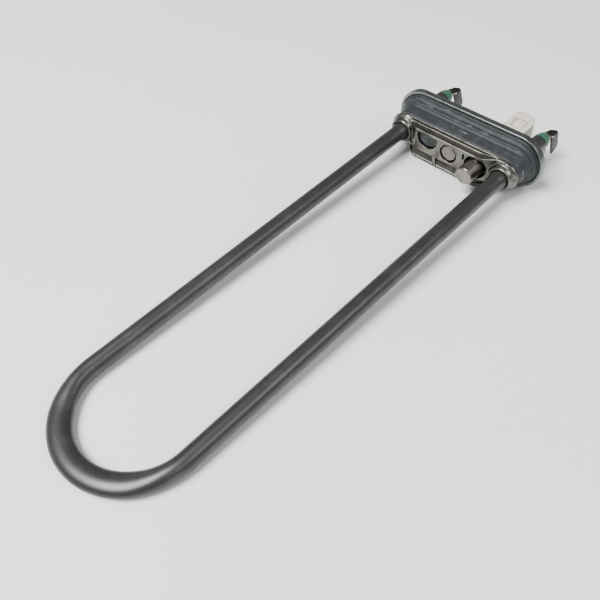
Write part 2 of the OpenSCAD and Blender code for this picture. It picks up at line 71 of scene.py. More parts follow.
def hex_rgba(code: str) -> tuple[float, float, float, float]:
    """Turns an sRGB hex code into a linear colour.

    Args:
        code: Six hex digits after a hash sign.

    Returns:
        Linear red, green and blue with an alpha of one.
    """
    channels = [int(code[i : i + 2], 16) / 255 for i in (1, 3, 5)]
    linear = [c / 12.92 if c <= 0.04045 else ((c + 0.055) / 1.055) ** 2.4 for c in channels]
    return (linear[0], linear[1], linear[2], 1.0)


def add_node(tree: Tree, kind: str, inputs: dict | None = None, **settings) -> bpy.types.Node:
    """Adds a shader node with its settings, values and links.

    Args:
        tree: The node tree that gets the node.
        kind: The node's Blender type.
        inputs: Values or output sockets by input name or index.
        **settings: Properties of the node.

    Returns:
        The new node.
    """
    node = tree.nodes.new(kind)
    for name, value in settings.items():
        setattr(node, name, value)
    for key, value in (inputs or {}).items():
        if isinstance(value, Socket):
            tree.links.new(value, node.inputs[key])
        else:
            node.inputs[key].default_value = value
    return node


class Grain(Enum):
    """Direction in which a surface pattern is drawn out."""

    EVEN = (1.0, 1.0, 1.0)
    ALONG_X = (0.06, 1.0, 1.0)
    ALONG_Y = (1.0, 0.06, 1.0)
    ALONG_Z = (1.0, 1.0, 0.06)


class Place(Enum):
    """Where a pattern takes its coordinates from."""

    OBJECT = "object"
    FLOW = "flow"


@dataclass(frozen=True)
class Finish:
    """A procedural surface: two tones in patches, uneven roughness, fine bump and painted shade in its recesses."""

    name: str
    tone: str
    second_tone: str
    metallic: float
    roughness: float
    rough_spread: float = 0.08
    patch_mm: float = 9.0
    patch_share: float = 0.5
    grain_mm: float = 0.5
    grain: Grain = Grain.EVEN
    bump_mm: float = 0.01
    edge_mm: float = 0.0
    # Painted shade: this colour darkens the surface where ambient occlusion finds it closed in
    recess_shade: str = "#2a2825"
    recess_shade_mm: float = 0.0
    recess_shade_share: float = 0.6
    streak: str = ""
    streak_mm: float = 1.2
    streak_share: float = 0.5
    streak_mask: str = ""
    place: Place = Place.OBJECT
    ior: float = 1.5
    specular: float = 0.5
    coat: float = 0.0
    subsurface: float = 0.0

    def material(self) -> bpy.types.Material:
        """Returns the Blender material of this finish, made once."""
        made = bpy.data.materials.get(self.name)
        if made is None:
            made = bpy.data.materials.new(self.name)
            made.use_nodes = True
            made.node_tree.nodes.clear()
            self.build(made.node_tree)
        return made

    def noise(self, tree: Tree, size_mm: float, grain: Grain, detail: float) -> Socket:
        """Adds noise on the piece.

        Args:
            tree: The node tree that gets the nodes.
            size_mm: Size of the pattern's features.
            grain: Direction in which the pattern is drawn out.
            detail: Number of finer octaves.

        Returns:
            The noise value's socket.
        """
        if self.place is Place.FLOW:
            spot = add_node(tree, "ShaderNodeAttribute", attribute_name=Place.FLOW.value).outputs["Vector"]
        else:
            spot = add_node(tree, "ShaderNodeTexCoord").outputs["Object"]
        drawn = add_node(tree, "ShaderNodeMapping", {"Vector": spot, "Scale": grain.value})
        noise = add_node(
            tree,
            "ShaderNodeTexNoise",
            {"Vector": drawn.outputs[0], "Scale": 1 / (size_mm * MM), "Detail": detail, "Roughness": 0.6},
        )
        return noise.outputs["Fac"]

    def ramp(self, tree: Tree, value: Socket, low: float, high: float) -> Socket:
        """Adds a smooth step of a value from low to high and returns its socket."""
        step = add_node(
            tree,
            "ShaderNodeMapRange",
            {"Value": value, "From Min": low, "From Max": high},
            interpolation_type="SMOOTHSTEP",
        )
        return step.outputs[0]

    def mix(self, tree: Tree, share: Socket | float, first: Socket | tuple, second: Socket | tuple) -> Socket:
        """Adds a mix of two colours by a share and returns its socket."""
        node = add_node(tree, "ShaderNodeMix", {0: share, 6: first, 7: second}, data_type="RGBA")
        return node.outputs[2]

    def product(self, tree: Tree, value: Socket, factor: Socket | float) -> Socket:
        """Adds a product of two values and returns its socket."""
        return add_node(tree, "ShaderNodeMath", {0: value, 1: factor}, operation="MULTIPLY").outputs[0]

    def colour(self, tree: Tree) -> Socket:
        """Builds the base colour: patches of two tones, pale streaks, and painted shade where it is closed in."""
        patches = self.ramp(
            tree,
            self.noise(tree, self.patch_mm, Grain.EVEN, 4),
            0.62 - 0.3 * self.patch_share,
            0.82 - 0.3 * self.patch_share,
        )
        made = self.mix(tree, patches, hex_rgba(self.tone), hex_rgba(self.second_tone))
        if self.streak:
            lines = self.ramp(tree, self.noise(tree, self.streak_mm, self.grain, 5), 0.52, 0.74)
            areas = self.ramp(tree, self.noise(tree, 12 * self.streak_mm, Grain.EVEN, 2), 0.42, 0.66)
            share = self.product(tree, self.product(tree, lines, areas), self.streak_share)
            if self.streak_mask:
                mask = add_node(tree, "ShaderNodeAttribute", attribute_name=self.streak_mask).outputs["Fac"]
                share = self.product(tree, share, mask)
            made = self.mix(tree, share, made, hex_rgba(self.streak))
        # Painted shade: darkens the colour where ambient occlusion finds the surface closed in
        if self.recess_shade_mm:
            near = add_node(
                tree, "ShaderNodeAmbientOcclusion", {"Distance": self.recess_shade_mm * MM}, samples=6
            ).outputs["AO"]
            closed = self.ramp(tree, near, 0.95, 0.35)
            made = self.mix(tree, self.product(tree, closed, self.recess_shade_share), made, hex_rgba(self.recess_shade))
        return made

    def normal(self, tree: Tree) -> Socket:
        """Builds the bump of the grain, on edges that are rounded where the finish says so."""
        height = self.noise(tree, self.grain_mm, self.grain, 3)
        inputs = {"Height": height, "Distance": self.bump_mm * MM}
        if self.edge_mm:
            rounded = add_node(tree, "ShaderNodeBevel", {"Radius": self.edge_mm * MM}, samples=6)
            inputs["Normal"] = rounded.outputs[0]
        return add_node(tree, "ShaderNodeBump", inputs).outputs[0]

    def rough(self, tree: Tree) -> Socket:
        """Builds a roughness that varies round its mean."""
        spread = add_node(
            tree,
            "ShaderNodeMapRange",
            {
                "Value": self.noise(tree, self.patch_mm * 0.6, self.grain, 4),
                "From Min": 0.3,
                "From Max": 0.7,
                "To Min": self.roughness - self.rough_spread,
                "To Max": self.roughness + self.rough_spread,
            },
        )
        return spread.outputs[0]

    def build(self, tree: Tree) -> None:
        """Fills a node tree with this finish.

        Args:
            tree: The material's empty node tree.
        """
        shader = add_node(
            tree,
            "ShaderNodeBsdfPrincipled",
            {
                "Base Color": self.colour(tree),
                "Roughness": self.rough(tree),
                "Normal": self.normal(tree),
                "Metallic": self.metallic,
                "IOR": self.ior,
                "Specular IOR Level": self.specular,
                "Coat Weight": self.coat,
                "Subsurface Weight": self.subsurface,
                "Subsurface Scale": 0.5 * MM,
            },
        )
        add_node(tree, "ShaderNodeOutputMaterial", {"Surface": shader.outputs[0]})


# Real grain of drawn, cast or moulded skins is 0.05 to 0.2 mm, and all grain_mm are drawn coarser to show

# Oxidised stainless tube: dark, half dull, with long drawing marks and faint scale
SHEATH = Finish(
    "oxidised_sheath", "#424242", "#4b4b4a", 0.7, 0.37, patch_mm=14, grain_mm=0.35, grain=Grain.ALONG_Z,
    bump_mm=0.004, rough_spread=0.04, streak="#a09f9d", streak_mm=0.8, streak_share=0.18, place=Place.FLOW,
)
# Moulded rubber: matt, slate grey, with a pale bloom rubbed along its ridges and near-black painted shade in its
# recesses
RUBBER = Finish(
    "moulded_rubber", "#272a2c", "#323538", 0.0, 0.52, specular=0.35, patch_mm=6, grain_mm=0.5, grain=Grain.ALONG_X,
    bump_mm=0.015, recess_shade="#08090a", recess_shade_mm=1.4, recess_shade_share=0.9, rough_spread=0.1, streak="#9aa0a4",
    streak_mm=0.6, streak_share=2.4, streak_mask="bloom", place=Place.FLOW,
)
# Pressed stainless sheet: bright, satin
PLATE = Finish(
    "pressed_steel", "#7c8081", "#6b6f71", 1.0, 0.32, patch_mm=10, grain_mm=0.4, bump_mm=0.003,
)
# Die-cast alloy: grey, fine cast skin, with painted shade in the pockets
CASTING = Finish(
    "die_cast_alloy", "#76746e", "#555350", 1.0, 0.33, patch_mm=5, grain_mm=0.6, bump_mm=0.012,
    recess_shade="#282725", recess_shade_mm=5, recess_shade_share=0.85, rough_spread=0.06,
)
# Plated steel of the bolt: mid grey, satin, painted shade under the head
BOLT_STEEL = Finish(
    "plated_bolt", "#7a7770", "#6a6761", 1.0, 0.36, patch_mm=3, grain_mm=0.3, bump_mm=0.008, recess_shade_mm=0.8,
)
# Zinc plating of small hardware: bluish light grey, satin, painted shade in its corners
ZINC = Finish(
    "small_plating", "#a0a4a2", "#8e9292", 1.0, 0.34, patch_mm=3, grain_mm=0.3, bump_mm=0.006, recess_shade_mm=0.8,
)
# Dull plated strip of the spades: dark brown-grey, heat stained by the welding
SPADE = Finish(
    "dull_strip", "#403e3a", "#312f2c", 1.0, 0.46, patch_mm=2.5, grain_mm=0.3, bump_mm=0.012,
)
# Weld beads on the spades, coloured near white as a painted glint
WELD_GLINT = Finish("weld_glint", "#e6e2da", "#d8d4cc", 1.0, 0.22, patch_mm=1, grain_mm=0.2, bump_mm=0.01)
# Drawn steel of the pins: warm grey with fine lines along them
PIN = Finish("drawn_pin", "#8b867d", "#6f6b64", 1.0, 0.4, patch_mm=2, grain_mm=0.2, grain=Grain.ALONG_Y)
# Cast resin bead: deep green with a dull gloss
RESIN = Finish(
    "cast_resin", "#3b5f4c", "#2d5140", 0.0, 0.4, patch_mm=2.2, grain_mm=1.5, bump_mm=0.03, specular=0.25,
)
# Drawn stainless sleeve of the sensor: clean satin with lines along it
SLEEVE = Finish(
    "drawn_sleeve", "#8a8780", "#76736c", 1.0, 0.32, patch_mm=4, grain_mm=0.3, grain=Grain.ALONG_Y,
    bump_mm=0.004,
)
# Moulded ivory thermoplastic: smooth, half matt, painted shade in its grooves
IVORY = Finish(
    "ivory_moulding", "#d5cfbf", "#c9c3b3", 0.0, 0.45, patch_mm=5, grain_mm=0.5, bump_mm=0.01,
    subsurface=0.1, recess_shade="#4e4a42", recess_shade_mm=2.2, recess_shade_share=1.0,
)
# Packed magnesium oxide powder: chalk white, quite matt
MAGNESIA = Finish("packed_magnesia", "#e6e3da", "#d8d4c8", 0.0, 0.9, patch_mm=2, grain_mm=0.2)
# Wound resistance wire: dull grey under an oxide skin
WIRE = Finish("wound_wire", "#8d8a84", "#77746e", 1.0, 0.4, patch_mm=1, grain_mm=0.1)
# Filling compound that carries heat to the bead: matt buff
COMPOUND = Finish("sensor_compound", "#b3a88e", "#a1967d", 0.0, 0.8, patch_mm=2, grain_mm=0.3)
# Glazed sensing bead: near black, glossy
GLAZE = Finish("dark_glaze", "#1c1c1e", "#28282a", 0.0, 0.2, patch_mm=1, grain_mm=0.3)
# Plated brass blades: pale gold, edges rounded by stamping
BRASS = Finish("plated_brass", "#c9ae6c", "#b3985a", 1.0, 0.3, patch_mm=2, grain_mm=0.2, edge_mm=0.1)
# Painted floor of the studio: pale, matt
FLOOR = Finish("pale_floor", "#f4f4f4", "#f0f0f0", 0.0, 0.8, patch_mm=400, grain_mm=8, bump_mm=0.02)


# Mesh helpers


def place_object(name: str, shape: Shape, finish: Finish, sharp_deg: float = 35.0) -> bpy.types.Object:
    """Turns a bmesh into a piece at the origin that rides on the body.

    Args:
        name: Name of the piece.
        shape: The finished bmesh, which is freed.
        finish: The piece's finish.
        sharp_deg: Edges steeper than this stay sharp in the shading.

    Returns:
        The new object.
    """
    mesh = bpy.data.meshes.new(name)
    limit = math.radians(sharp_deg)
    for edge in shape.edges:
        edge.smooth = len(edge.link_faces) == 2 and edge.calc_face_angle(0.0) < limit
    for face in shape.faces:
        face.smooth = True
    shape.to_mesh(mesh)
    shape.free()
    mesh.materials.append(finish.material())
    piece = bpy.data.objects.new(name, mesh)
    bpy.context.scene.collection.objects.link(piece)
    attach(piece, BODY)
    LOG.info("%s: %d faces, %s", name, len(mesh.polygons), finish.name)
    return piece


def outward(shape: Shape) -> None:
    """Merges doubles, clears an edge left on the axis and points all faces outwards.

    Args:
        shape: The bmesh to mend.
    """
    bmesh.ops.remove_doubles(shape, verts=shape.verts, dist=0.002 * MM)
    bare = [edge for edge in shape.edges if not edge.link_faces]
    bmesh.ops.delete(shape, geom=bare, context="EDGES")
    bmesh.ops.recalc_face_normals(shape, faces=shape.faces)


def node_copy(node: str) -> Shape:
    """Copies a CAD node's mesh and merges its loose triangles.

    Args:
        node: The CAD node.

    Returns:
        The copy as a bmesh.
    """
    shape = bmesh.new()
    shape.from_mesh(NODES[node].data)
    bmesh.ops.remove_doubles(shape, verts=shape.verts, dist=0.001 * MM)
    return shape


def add_turned(
    shape: Shape, profile: Profile, centre: Point, steps: int, start: float = 0.0, sweep: float = 360.0
) -> None:
    """Adds a closed profile turned about an axis along Y to a bmesh.

    Args:
        shape: The bmesh that gets it.
        profile: Corners as (radius, y) in metres, in order, closed by itself.
        centre: A point on the axis, whose y is added to the profile's.
        steps: Number of steps round.
        start: Angle of the first section, in degrees from +X towards +Z.
        sweep: Angle swept, in degrees.
    """
    middle = Vector(centre)
    verts = [shape.verts.new(middle + Vector((r, y, 0.0))) for r, y in profile]
    edges = [shape.edges.new((verts[i], verts[(i + 1) % len(verts)])) for i in range(len(verts))]
    bmesh.ops.rotate(shape, verts=verts, cent=middle, matrix=Matrix.Rotation(-math.radians(start), 3, "Y"))
    bmesh.ops.spin(
        shape,
        geom=verts + edges,
        cent=middle,
        axis=(0.0, -1.0, 0.0),
        angle=math.radians(sweep),
        steps=steps,
        use_merge=abs(sweep - 360.0) < 1e-6,
        use_duplicate=False,
    )


def lathe(profile: Profile, centre: Point, steps: int = 72) -> Shape:
    """Turns a closed profile once round an axis along Y.

    Args:
        profile: Corners as (radius, y) in metres.
        centre: A point on the axis.
        steps: Number of steps round.

    Returns:
        A bmesh with its faces outwards.
    """
    shape = bmesh.new()
    add_turned(shape, profile, centre, steps)
    outward(shape)
    return shape


def soften(shape: Shape, width: float, segments: int = 2, from_deg: float = 30.0) -> None:
    """Bevels the edges that are steeper than an angle.

    Args:
        shape: The bmesh to soften.
        width: Width of the bevel in metres.
        segments: Number of steps over an edge.
        from_deg: Least angle of an edge that is bevelled.
    """
    limit = math.radians(from_deg)
    edges = [e for e in shape.edges if len(e.link_faces) == 2 and e.calc_face_angle(0.0) > limit]
    bmesh.ops.bevel(
        shape,
        geom=edges,
        offset=width,
        segments=segments,
        profile=0.5,
        affect="EDGES",
        clamp_overlap=True,
        material=-1,
    )


def recast(node: str, name: str, finish: Finish, voxel_mm: float, rounds: int) -> bpy.types.Object:
    """Makes a softened copy of a CAD node, as casting and moulding round its edges.

    Args:
        node: The CAD node that is copied and replaced.
        name: Name of the new piece.
        finish: The piece's finish.
        voxel_mm: Grid of the remesh.
        rounds: Number of smoothing rounds.

    Returns:
        The new object.
    """
    shape = node_copy(node)
    mesh = bpy.data.meshes.new(name + "_grid")
    shape.to_mesh(mesh)
    shape.free()
    rough = bpy.data.objects.new(name + "_grid", mesh)
    bpy.context.scene.collection.objects.link(rough)
    remesh = rough.modifiers.new("grid", "REMESH")
    remesh.mode = "VOXEL"
    remesh.voxel_size = voxel_mm * MM
    smooth = rough.modifiers.new("smooth", "SMOOTH")
    smooth.factor = 0.5
    smooth.iterations = rounds
    bpy.context.view_layer.update()
    fine = bpy.data.meshes.new_from_object(rough.evaluated_get(bpy.context.evaluated_depsgraph_get()))
    bpy.data.objects.remove(rough)
    shape = bmesh.new()
    shape.from_mesh(fine)
    piece = place_object(name, shape, finish, 80.0)
    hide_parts(node)
    return piece


def bump_at(place: float, centre_mm: float, width_mm: float) -> float:
    """Gives a soft bump of height one round a place.

    Args:
        place: Where the bump is asked for, in metres.
        centre_mm: Where the bump's top is.
        width_mm: How wide it is.

    Returns:
        The bump's height there.
    """
    return math.exp(-(((place / MM - centre_mm) / width_mm) ** 2))


def mark_flow(piece: bpy.types.Object, rule: Callable[[Vector], Point]) -> None:
    """Stores where each point lies on a surface that was drawn or swept.

    Args:
        piece: The finished piece.
        rule: A function from a point to its place on the drawn surface.
    """
    flow = piece.data.attributes.new(Place.FLOW.value, "FLOAT_VECTOR", "POINT")
    for vert, cell in zip(piece.data.vertices, flow.data):
        cell.vector = rule(vert.co)


def dress(names: Iterable[str], finish: Finish) -> None:
    """Gives CAD nodes a finish.

    Args:
        names: Names of the CAD nodes.
        finish: The finish that they get.
    """
    for name in names:
        data = NODES[name].data
        data.materials.clear()
        data.materials.append(finish.material())
        LOG.info("%s: %s", name, finish.name)


class Side(Enum):
    """The two ends of the flange."""

    LEFT = -1
    RIGHT = 1

    @property
    def tag(self) -> str:
        """Name of the side as the CAD nodes have it."""
        return self.name.lower()


@dataclass
class HeatingTube:
    """Sheath of the heater: two legs and a loop whose end is pressed flat."""

    radius: float = 4.25 * MM
    wall: float = 0.8 * MM
    chamfer: float = 0.3 * MM
    swage: float = 0.6 * MM
    swage_front: float = -18.5 * MM
    swage_end: float = -12.3 * MM
    press_width: float = 10.4 * MM
    press_height: float = 6.5 * MM
    around: int = 48
    bend_steps: int = 96
    leg_steps: int = 24

    def __post_init__(self) -> None:
        """Reads the tube's box, which gives its reach and the legs' spacing."""
        low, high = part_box("heating_tube")
        self.tail = high[1]
        self.leg_x = high[0] - self.radius - self.swage
        self.bend_y = low[1] + self.press_width / 2 + self.leg_x

    def stations(self, inset: float) -> list[tuple[float, float]]:
        """Lists (y, radius) along a leg, from its rear end to the loop.

        Args:
            inset: None for the outside, and the wall's thickness for the bore, which has no swage.

        Returns:
            The places and radii of the leg's sections.
        """
        outside = [
            (self.tail - self.chamfer, self.radius),
            (self.swage_end + self.swage, self.radius),
            (self.swage_end, self.radius + self.swage),
            (self.swage_front, self.radius + self.swage),
            (self.swage_front - 1.6 * MM, self.radius + 0.5 * self.swage),
            (self.swage_front - 3.2 * MM, self.radius),
            (self.bend_y, self.radius),
        ]
        return [(y, self.radius - inset) for y, _ in outside] if inset else outside

    def pressed(self, angle: float) -> float:
        """Share of the pressing at an angle round the loop.

        Args:
            angle: Angle in degrees from the right leg.

        Returns:
            None at the loop's ends, and one at its apex.
        """
        share = min(1.0, max(0.0, (90.0 - abs(angle - 90.0)) / 75.0 - 0.15) / 0.5)
        return share * share * (3.0 - 2.0 * share)

    def grow(self, shape: Shape, ring: list, centre: Vector, y: float, radius: float) -> list:
        """Extrudes a ring of a leg to the next station.

        Args:
            shape: The tube's bmesh.
            ring: Edges of the last ring.
            centre: Centre of the last ring.
            y: Place of the new ring.
            radius: Radius of the new ring.

        Returns:
            The edges of the new ring.
        """
        made = bmesh.ops.extrude_edge_only(shape, edges=ring)["geom"]
        verts = [g for g in made if isinstance(g, bmesh.types.BMVert)]
        factor = radius / (verts[0].co - centre).length
        bmesh.ops.scale(shape, verts=verts, vec=(factor,) * 3, space=Matrix.Translation(-centre))
        bmesh.ops.translate(shape, verts=verts, vec=(0.0, y - centre.y, 0.0))
        return [g for g in made if isinstance(g, bmesh.types.BMEdge) and all(v in verts for v in g.verts)]

    def leg(self, shape: Shape, side: Side, inset: float) -> list:
        """Builds one leg from a circle at its rear end.

        Args:
            shape: The tube's bmesh.
            side: Which leg.
            inset: How far its skin lies inside the sheath.

        Returns:
            The edges of the ring where the leg meets the loop.
        """
        x = side.value * self.leg_x
        stops = self.stations(inset)
        made = bmesh.ops.create_circle(
            shape,
            segments=self.around,
            radius=stops[0][1],
            matrix=Matrix.Translation((x, stops[0][0], 0.0)) @ Matrix.Rotation(math.pi / 2, 4, "X"),
        )
        ring = list({e for v in made["verts"] for e in v.link_edges})
        last = stops[0][0]
        if not inset:
            self.rear_end(shape, ring, Vector((x, last, 0.0)))
        for y, radius in stops[1:]:
            count = 1 if y > self.bend_y else self.leg_steps
            step = (y - last) / count
            for k in range(count):
                ring = self.grow(shape, ring, Vector((x, last + k * step, 0.0)), last + (k + 1) * step, radius)
            last = y
        return ring

    def rear_end(self, shape: Shape, ring: list, centre: Vector) -> None:
        """Turns a leg's rear end in to its bore with a small chamfer.

        Args:
            shape: The tube's bmesh.
            ring: Edges of the leg's first ring.
            centre: Centre of that ring.
        """
        behind = centre + Vector((0.0, self.chamfer, 0.0))
        bore = self.radius - self.wall
        ring = self.grow(shape, ring, centre, behind.y, self.radius - self.chamfer)
        ring = self.grow(shape, ring, behind, behind.y, bore)
        self.grow(shape, ring, behind, centre.y, bore)

    def loop(self, shape: Shape, ring: list, inset: float) -> None:
        """Spins the loop on from the right leg and presses its end flat.

        Args:
            shape: The tube's bmesh.
            ring: Edges where the right leg meets the loop.
            inset: How far its skin lies inside the sheath.
        """
        known = set(shape.verts)
        axis = Vector((0.0, self.bend_y, 0.0))
        bmesh.ops.spin(
            shape,
            geom=ring,
            cent=axis,
            axis=(0.0, 0.0, -1.0),
            angle=math.pi,
            steps=self.bend_steps,
            use_merge=False,
            use_duplicate=False,
        )
        for vert in [v for v in shape.verts if v not in known]:
            flat = Vector((vert.co.x, vert.co.y - self.bend_y, 0.0))
            share = self.pressed(math.degrees(math.atan2(-flat.y, flat.x)))
            wide = 1 + ((self.press_width / 2 - inset) / (self.radius - inset) - 1) * share
            high = 1 + ((self.press_height / 2 - inset) / (self.radius - inset) - 1) * share
            reach = self.leg_x + (flat.length - self.leg_x) * wide
            spot = axis + flat.normalized() * reach
            vert.co = (spot.x, spot.y, vert.co.z * high)

    def flow(self, spot: Vector) -> Point:
        """Finds a point's place across, over and along the drawn tube.

        Args:
            spot: A point on the sheath.

        Returns:
            Its place, with the length along the tube last.
        """
        x, y, z = spot
        if y >= self.bend_y:
            along = y - self.bend_y if x > 0 else self.bend_y - y - math.pi * self.leg_x
            return (abs(x) - self.leg_x, z, along)
        angle = math.atan2(self.bend_y - y, x)
        return (math.hypot(x, y - self.bend_y) - self.leg_x, z, -self.leg_x * angle)

    def build(self) -> None:
        """Builds the sheath and replaces the CAD tube by it."""
        shape = bmesh.new()
        for inset in (0.0, self.wall):
            ring = self.leg(shape, Side.RIGHT, inset)
            self.loop(shape, ring, inset)
            self.leg(shape, Side.LEFT, inset)
        outward(shape)
        piece = place_object("sheath", shape, SHEATH, 40.0)
        mark_flow(piece, self.flow)
        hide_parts("heating_tube")
        dress(["insulation_fill"], MAGNESIA)
        dress(["resistance_coil"], WIRE)


@dataclass
class Terminal:
    """Pin, resin bead and bent spade at the end of a leg."""

    side: Side
    bead_length: float = 7.2 * MM
    tube_radius: float = 4.25 * MM
    edge: float = 0.12 * MM
    weld_radius: float = 0.42 * MM
    weld_depth: float = 0.35 * MM
    weld_spots: tuple = ((-0.1 * MM, 0.8 * MM), (1.5 * MM, 0.4 * MM))

    def __post_init__(self) -> None:
        """Reads the boxes of the CAD nodes."""
        low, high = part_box("terminal_pin_" + self.side.tag)
        self.x = (low[0] + high[0]) / 2
        self.pin_radius = (high[0] - low[0]) / 2
        low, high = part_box("end_seal_" + self.side.tag)
        self.bead_end = high[1]
        self.plug_front = low[1]

    def bead(self) -> None:
        """Builds the resin bead, which sagged a little before it set."""
        inner = self.pin_radius + 0.05 * MM
        neck = inner + 0.25 * MM
        mouth = self.bead_end - self.bead_length + 0.05 * MM
        bore = self.tube_radius - 0.85 * MM
        profile = [(inner, self.plug_front), (bore, self.plug_front), (bore, mouth)]
        profile.append((self.tube_radius - 0.1 * MM, mouth))
        steps = 12
        for k in range(1, steps + 1):
            t = k / steps
            radius = neck + (self.tube_radius - neck) * max(0.0, 1 - t * t) ** 0.6
            profile.append((radius, mouth + t * (self.bead_end - mouth)))
        profile.append((inner, self.bead_end))
        shape = lathe(profile, (self.x, 0.0, 0.0), 56)
        for vert in shape.verts:
            behind = (vert.co.y - mouth) / (self.bead_end - mouth)
            outside = math.hypot(vert.co.x - self.x, vert.co.z) > inner + 0.1 * MM
            if 0 < behind < 0.98 and outside:
                vert.co.z -= 0.18 * MM * math.sin(math.pi * behind)
        piece = place_object("bead_" + self.side.tag, shape, RESIN, 50.0)
        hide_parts("end_seal_" + self.side.tag)

    def spade(self) -> None:
        """Builds the spade from its CAD node, with soft edges and its weld beads, which carry a painted glint."""
        node = "spade_terminal_" + self.side.tag
        shape = node_copy(node)
        bmesh.ops.dissolve_limit(shape, angle_limit=math.radians(1), verts=shape.verts, edges=shape.edges)
        soften(shape, self.edge, 2, 50.0)
        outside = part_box(node)[1][0] - self.weld_depth
        for y, z in self.weld_spots:
            place = Matrix.Translation((outside, self.bead_end + y, z))
            made = bmesh.ops.create_uvsphere(shape, u_segments=16, v_segments=8, radius=self.weld_radius, matrix=place)
            for face in {face for vert in made["verts"] for face in vert.link_faces}:
                face.material_index = 1
        piece = place_object("spade_" + self.side.tag, shape, SPADE, 30.0)
        # The weld beads get a near-white second material as a painted glint
        piece.data.materials.append(WELD_GLINT.material())
        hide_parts(node)

    def build(self) -> None:
        """Builds the whole terminal."""
        self.bead()
        self.spade()
        dress(["terminal_pin_" + self.side.tag], PIN)


@dataclass
class Flange:
    """Rubber seal and pressed outer plate round it."""

    rim_width: float = 1.75 * MM
    floor_thickness: float = 1.8 * MM
    rim_round: float = 0.42 * MM
    tube_hole: float = 4.55 * MM
    bolt_hole: float = 3.2 * MM
    sensor_hole: float = 4.95 * MM
    end_steps: int = 48
    seal_nose: float = -12.2 * MM
    window_at: float = -13.5 * MM
    window_radius: float = 6.6 * MM
    window_bloom: float = 1.8
    lips: tuple = (
        (-0.35, 0.4, -0.7), (-1.3, 0.4, 0.1), (-2.3, 0.4, -0.22), (-3.4, 0.5, 0.1), (-5.5, 0.4, -0.1),
        (-7.8, 0.3, 0.06),
    )
    rubbed: tuple = ((-1.2, 0.3, 0.5), (-3.4, 0.8, 1.0), (-4.6, 0.5, 0.6), (-7.8, 0.3, 0.9), (-11.8, 0.35, 0.6))

    def __post_init__(self) -> None:
        """Reads the plate's box and the places of its holes."""
        low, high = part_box("outer_plate")
        self.front, self.back = low[1], high[1]
        self.radius = high[2]
        self.mid = high[0] - self.radius
        low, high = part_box("terminal_pin_right")
        self.leg_x = (low[0] + high[0]) / 2
        low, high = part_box("sensor_sleeve")
        self.sensor_x = (low[0] + high[0]) / 2

    def arc(self, r: float, y: float, start: float) -> list[tuple[float, float]]:
        """Lists a quarter round of the rim's section as (radius, y).

        Args:
            r: Radius of the round's centre from the rim's axis.
            y: Place of the round's centre.
            start: Angle of its first corner in degrees.

        Returns:
            The corners of the round.
        """
        steps = 5
        turns = [math.radians(start + 90.0 * k / steps) for k in range(steps + 1)]
        return [(r + self.rim_round * math.cos(a), y + self.rim_round * math.sin(a)) for a in turns]

    def oval(self, shape: Shape, profile: Profile) -> None:
        """Sweeps a closed profile round the flange's oval.

        Args:
            shape: The bmesh that gets the sweep.
            profile: Corners as (radius, y).
        """
        for side, start in ((Side.RIGHT, -90.0), (Side.LEFT, 90.0)):
            add_turned(shape, profile, (side.value * self.mid, 0.0, 0.0), self.end_steps, start, 180.0)
        sections = []
        for z in (1.0, -1.0):
            pair = []
            for x in (self.mid, -self.mid):
                ends = {v for v in shape.verts if abs(v.co.x - x) < 0.002 * MM and v.co.z * z > 0}
                pair += [e for e in shape.edges if e.verts[0] in ends and e.verts[1] in ends]
            sections.append(pair)
        for pair in sections:
            bmesh.ops.bridge_loops(shape, edges=pair)

    def plate(self) -> None:
        """Builds the plate: a rounded rim and a flat floor with its holes."""
        rr = self.rim_round
        outer, inner = self.radius, self.radius - self.rim_width
        floor_front = self.back - self.floor_thickness
        inset = 0.05 * MM
        profile = (
            self.arc(inner + rr, self.front + rr, 180.0)
            + self.arc(outer - rr, self.front + rr, 270.0)
            + self.arc(outer - rr, self.back - rr, 0.0)
            + [(inner - 6 * inset, self.back - inset), (inner - 6 * inset, floor_front + inset)]
            + [(inner, floor_front + inset)]
        )
        shape = bmesh.new()
        self.oval(shape, profile)
        outward(shape)
        self.floor(shape, inner + 2 * inset, floor_front)
        piece = place_object("plate", shape, PLATE, 30.0)
        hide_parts("outer_plate")

    def floor(self, shape: Shape, edge: float, front: float) -> None:
        """Adds the plate's floor with its holes to the rim.

        Args:
            shape: The rim's bmesh.
            edge: Half height of the floor.
            front: Place of its front face.
        """
        part = bmesh.new()
        corners = []
        for side, start in ((Side.RIGHT, -90.0), (Side.LEFT, 90.0)):
            for k in range(self.end_steps + 1):
                a = math.radians(start + 180.0 * k / self.end_steps)
                corners.append((side.value * self.mid + edge * math.cos(a), edge * math.sin(a)))
        outline = [part.verts.new((x, front, z)) for x, z in corners]
        edges = [part.edges.new((outline[i], outline[(i + 1) % len(outline)])) for i in range(len(outline))]
        holes = [(-self.leg_x, self.tube_hole), (self.leg_x, self.tube_hole), (0.0, self.bolt_hole)]
        holes.append((self.sensor_x, self.sensor_hole))
        for x, r in holes:
            made = bmesh.ops.create_circle(
                part,
                segments=48,
                radius=r,
                matrix=Matrix.Translation((x, front, 0.0)) @ Matrix.Rotation(math.pi / 2, 4, "X"),
            )
            edges += list({e for v in made["verts"] for e in v.link_edges})
        bmesh.ops.triangle_fill(part, use_beauty=True, edges=edges)
        made = bmesh.ops.extrude_face_region(part, geom=part.faces[:])
        moved = [g for g in made["geom"] if isinstance(g, bmesh.types.BMVert)]
        bmesh.ops.translate(part, verts=moved, vec=(0.0, self.floor_thickness, 0.0))
        outward(part)
        soften(part, 0.12 * MM, 2, 60.0)
        mesh = bpy.data.meshes.new("plate_floor")
        part.to_mesh(mesh)
        part.free()
        shape.from_mesh(mesh)

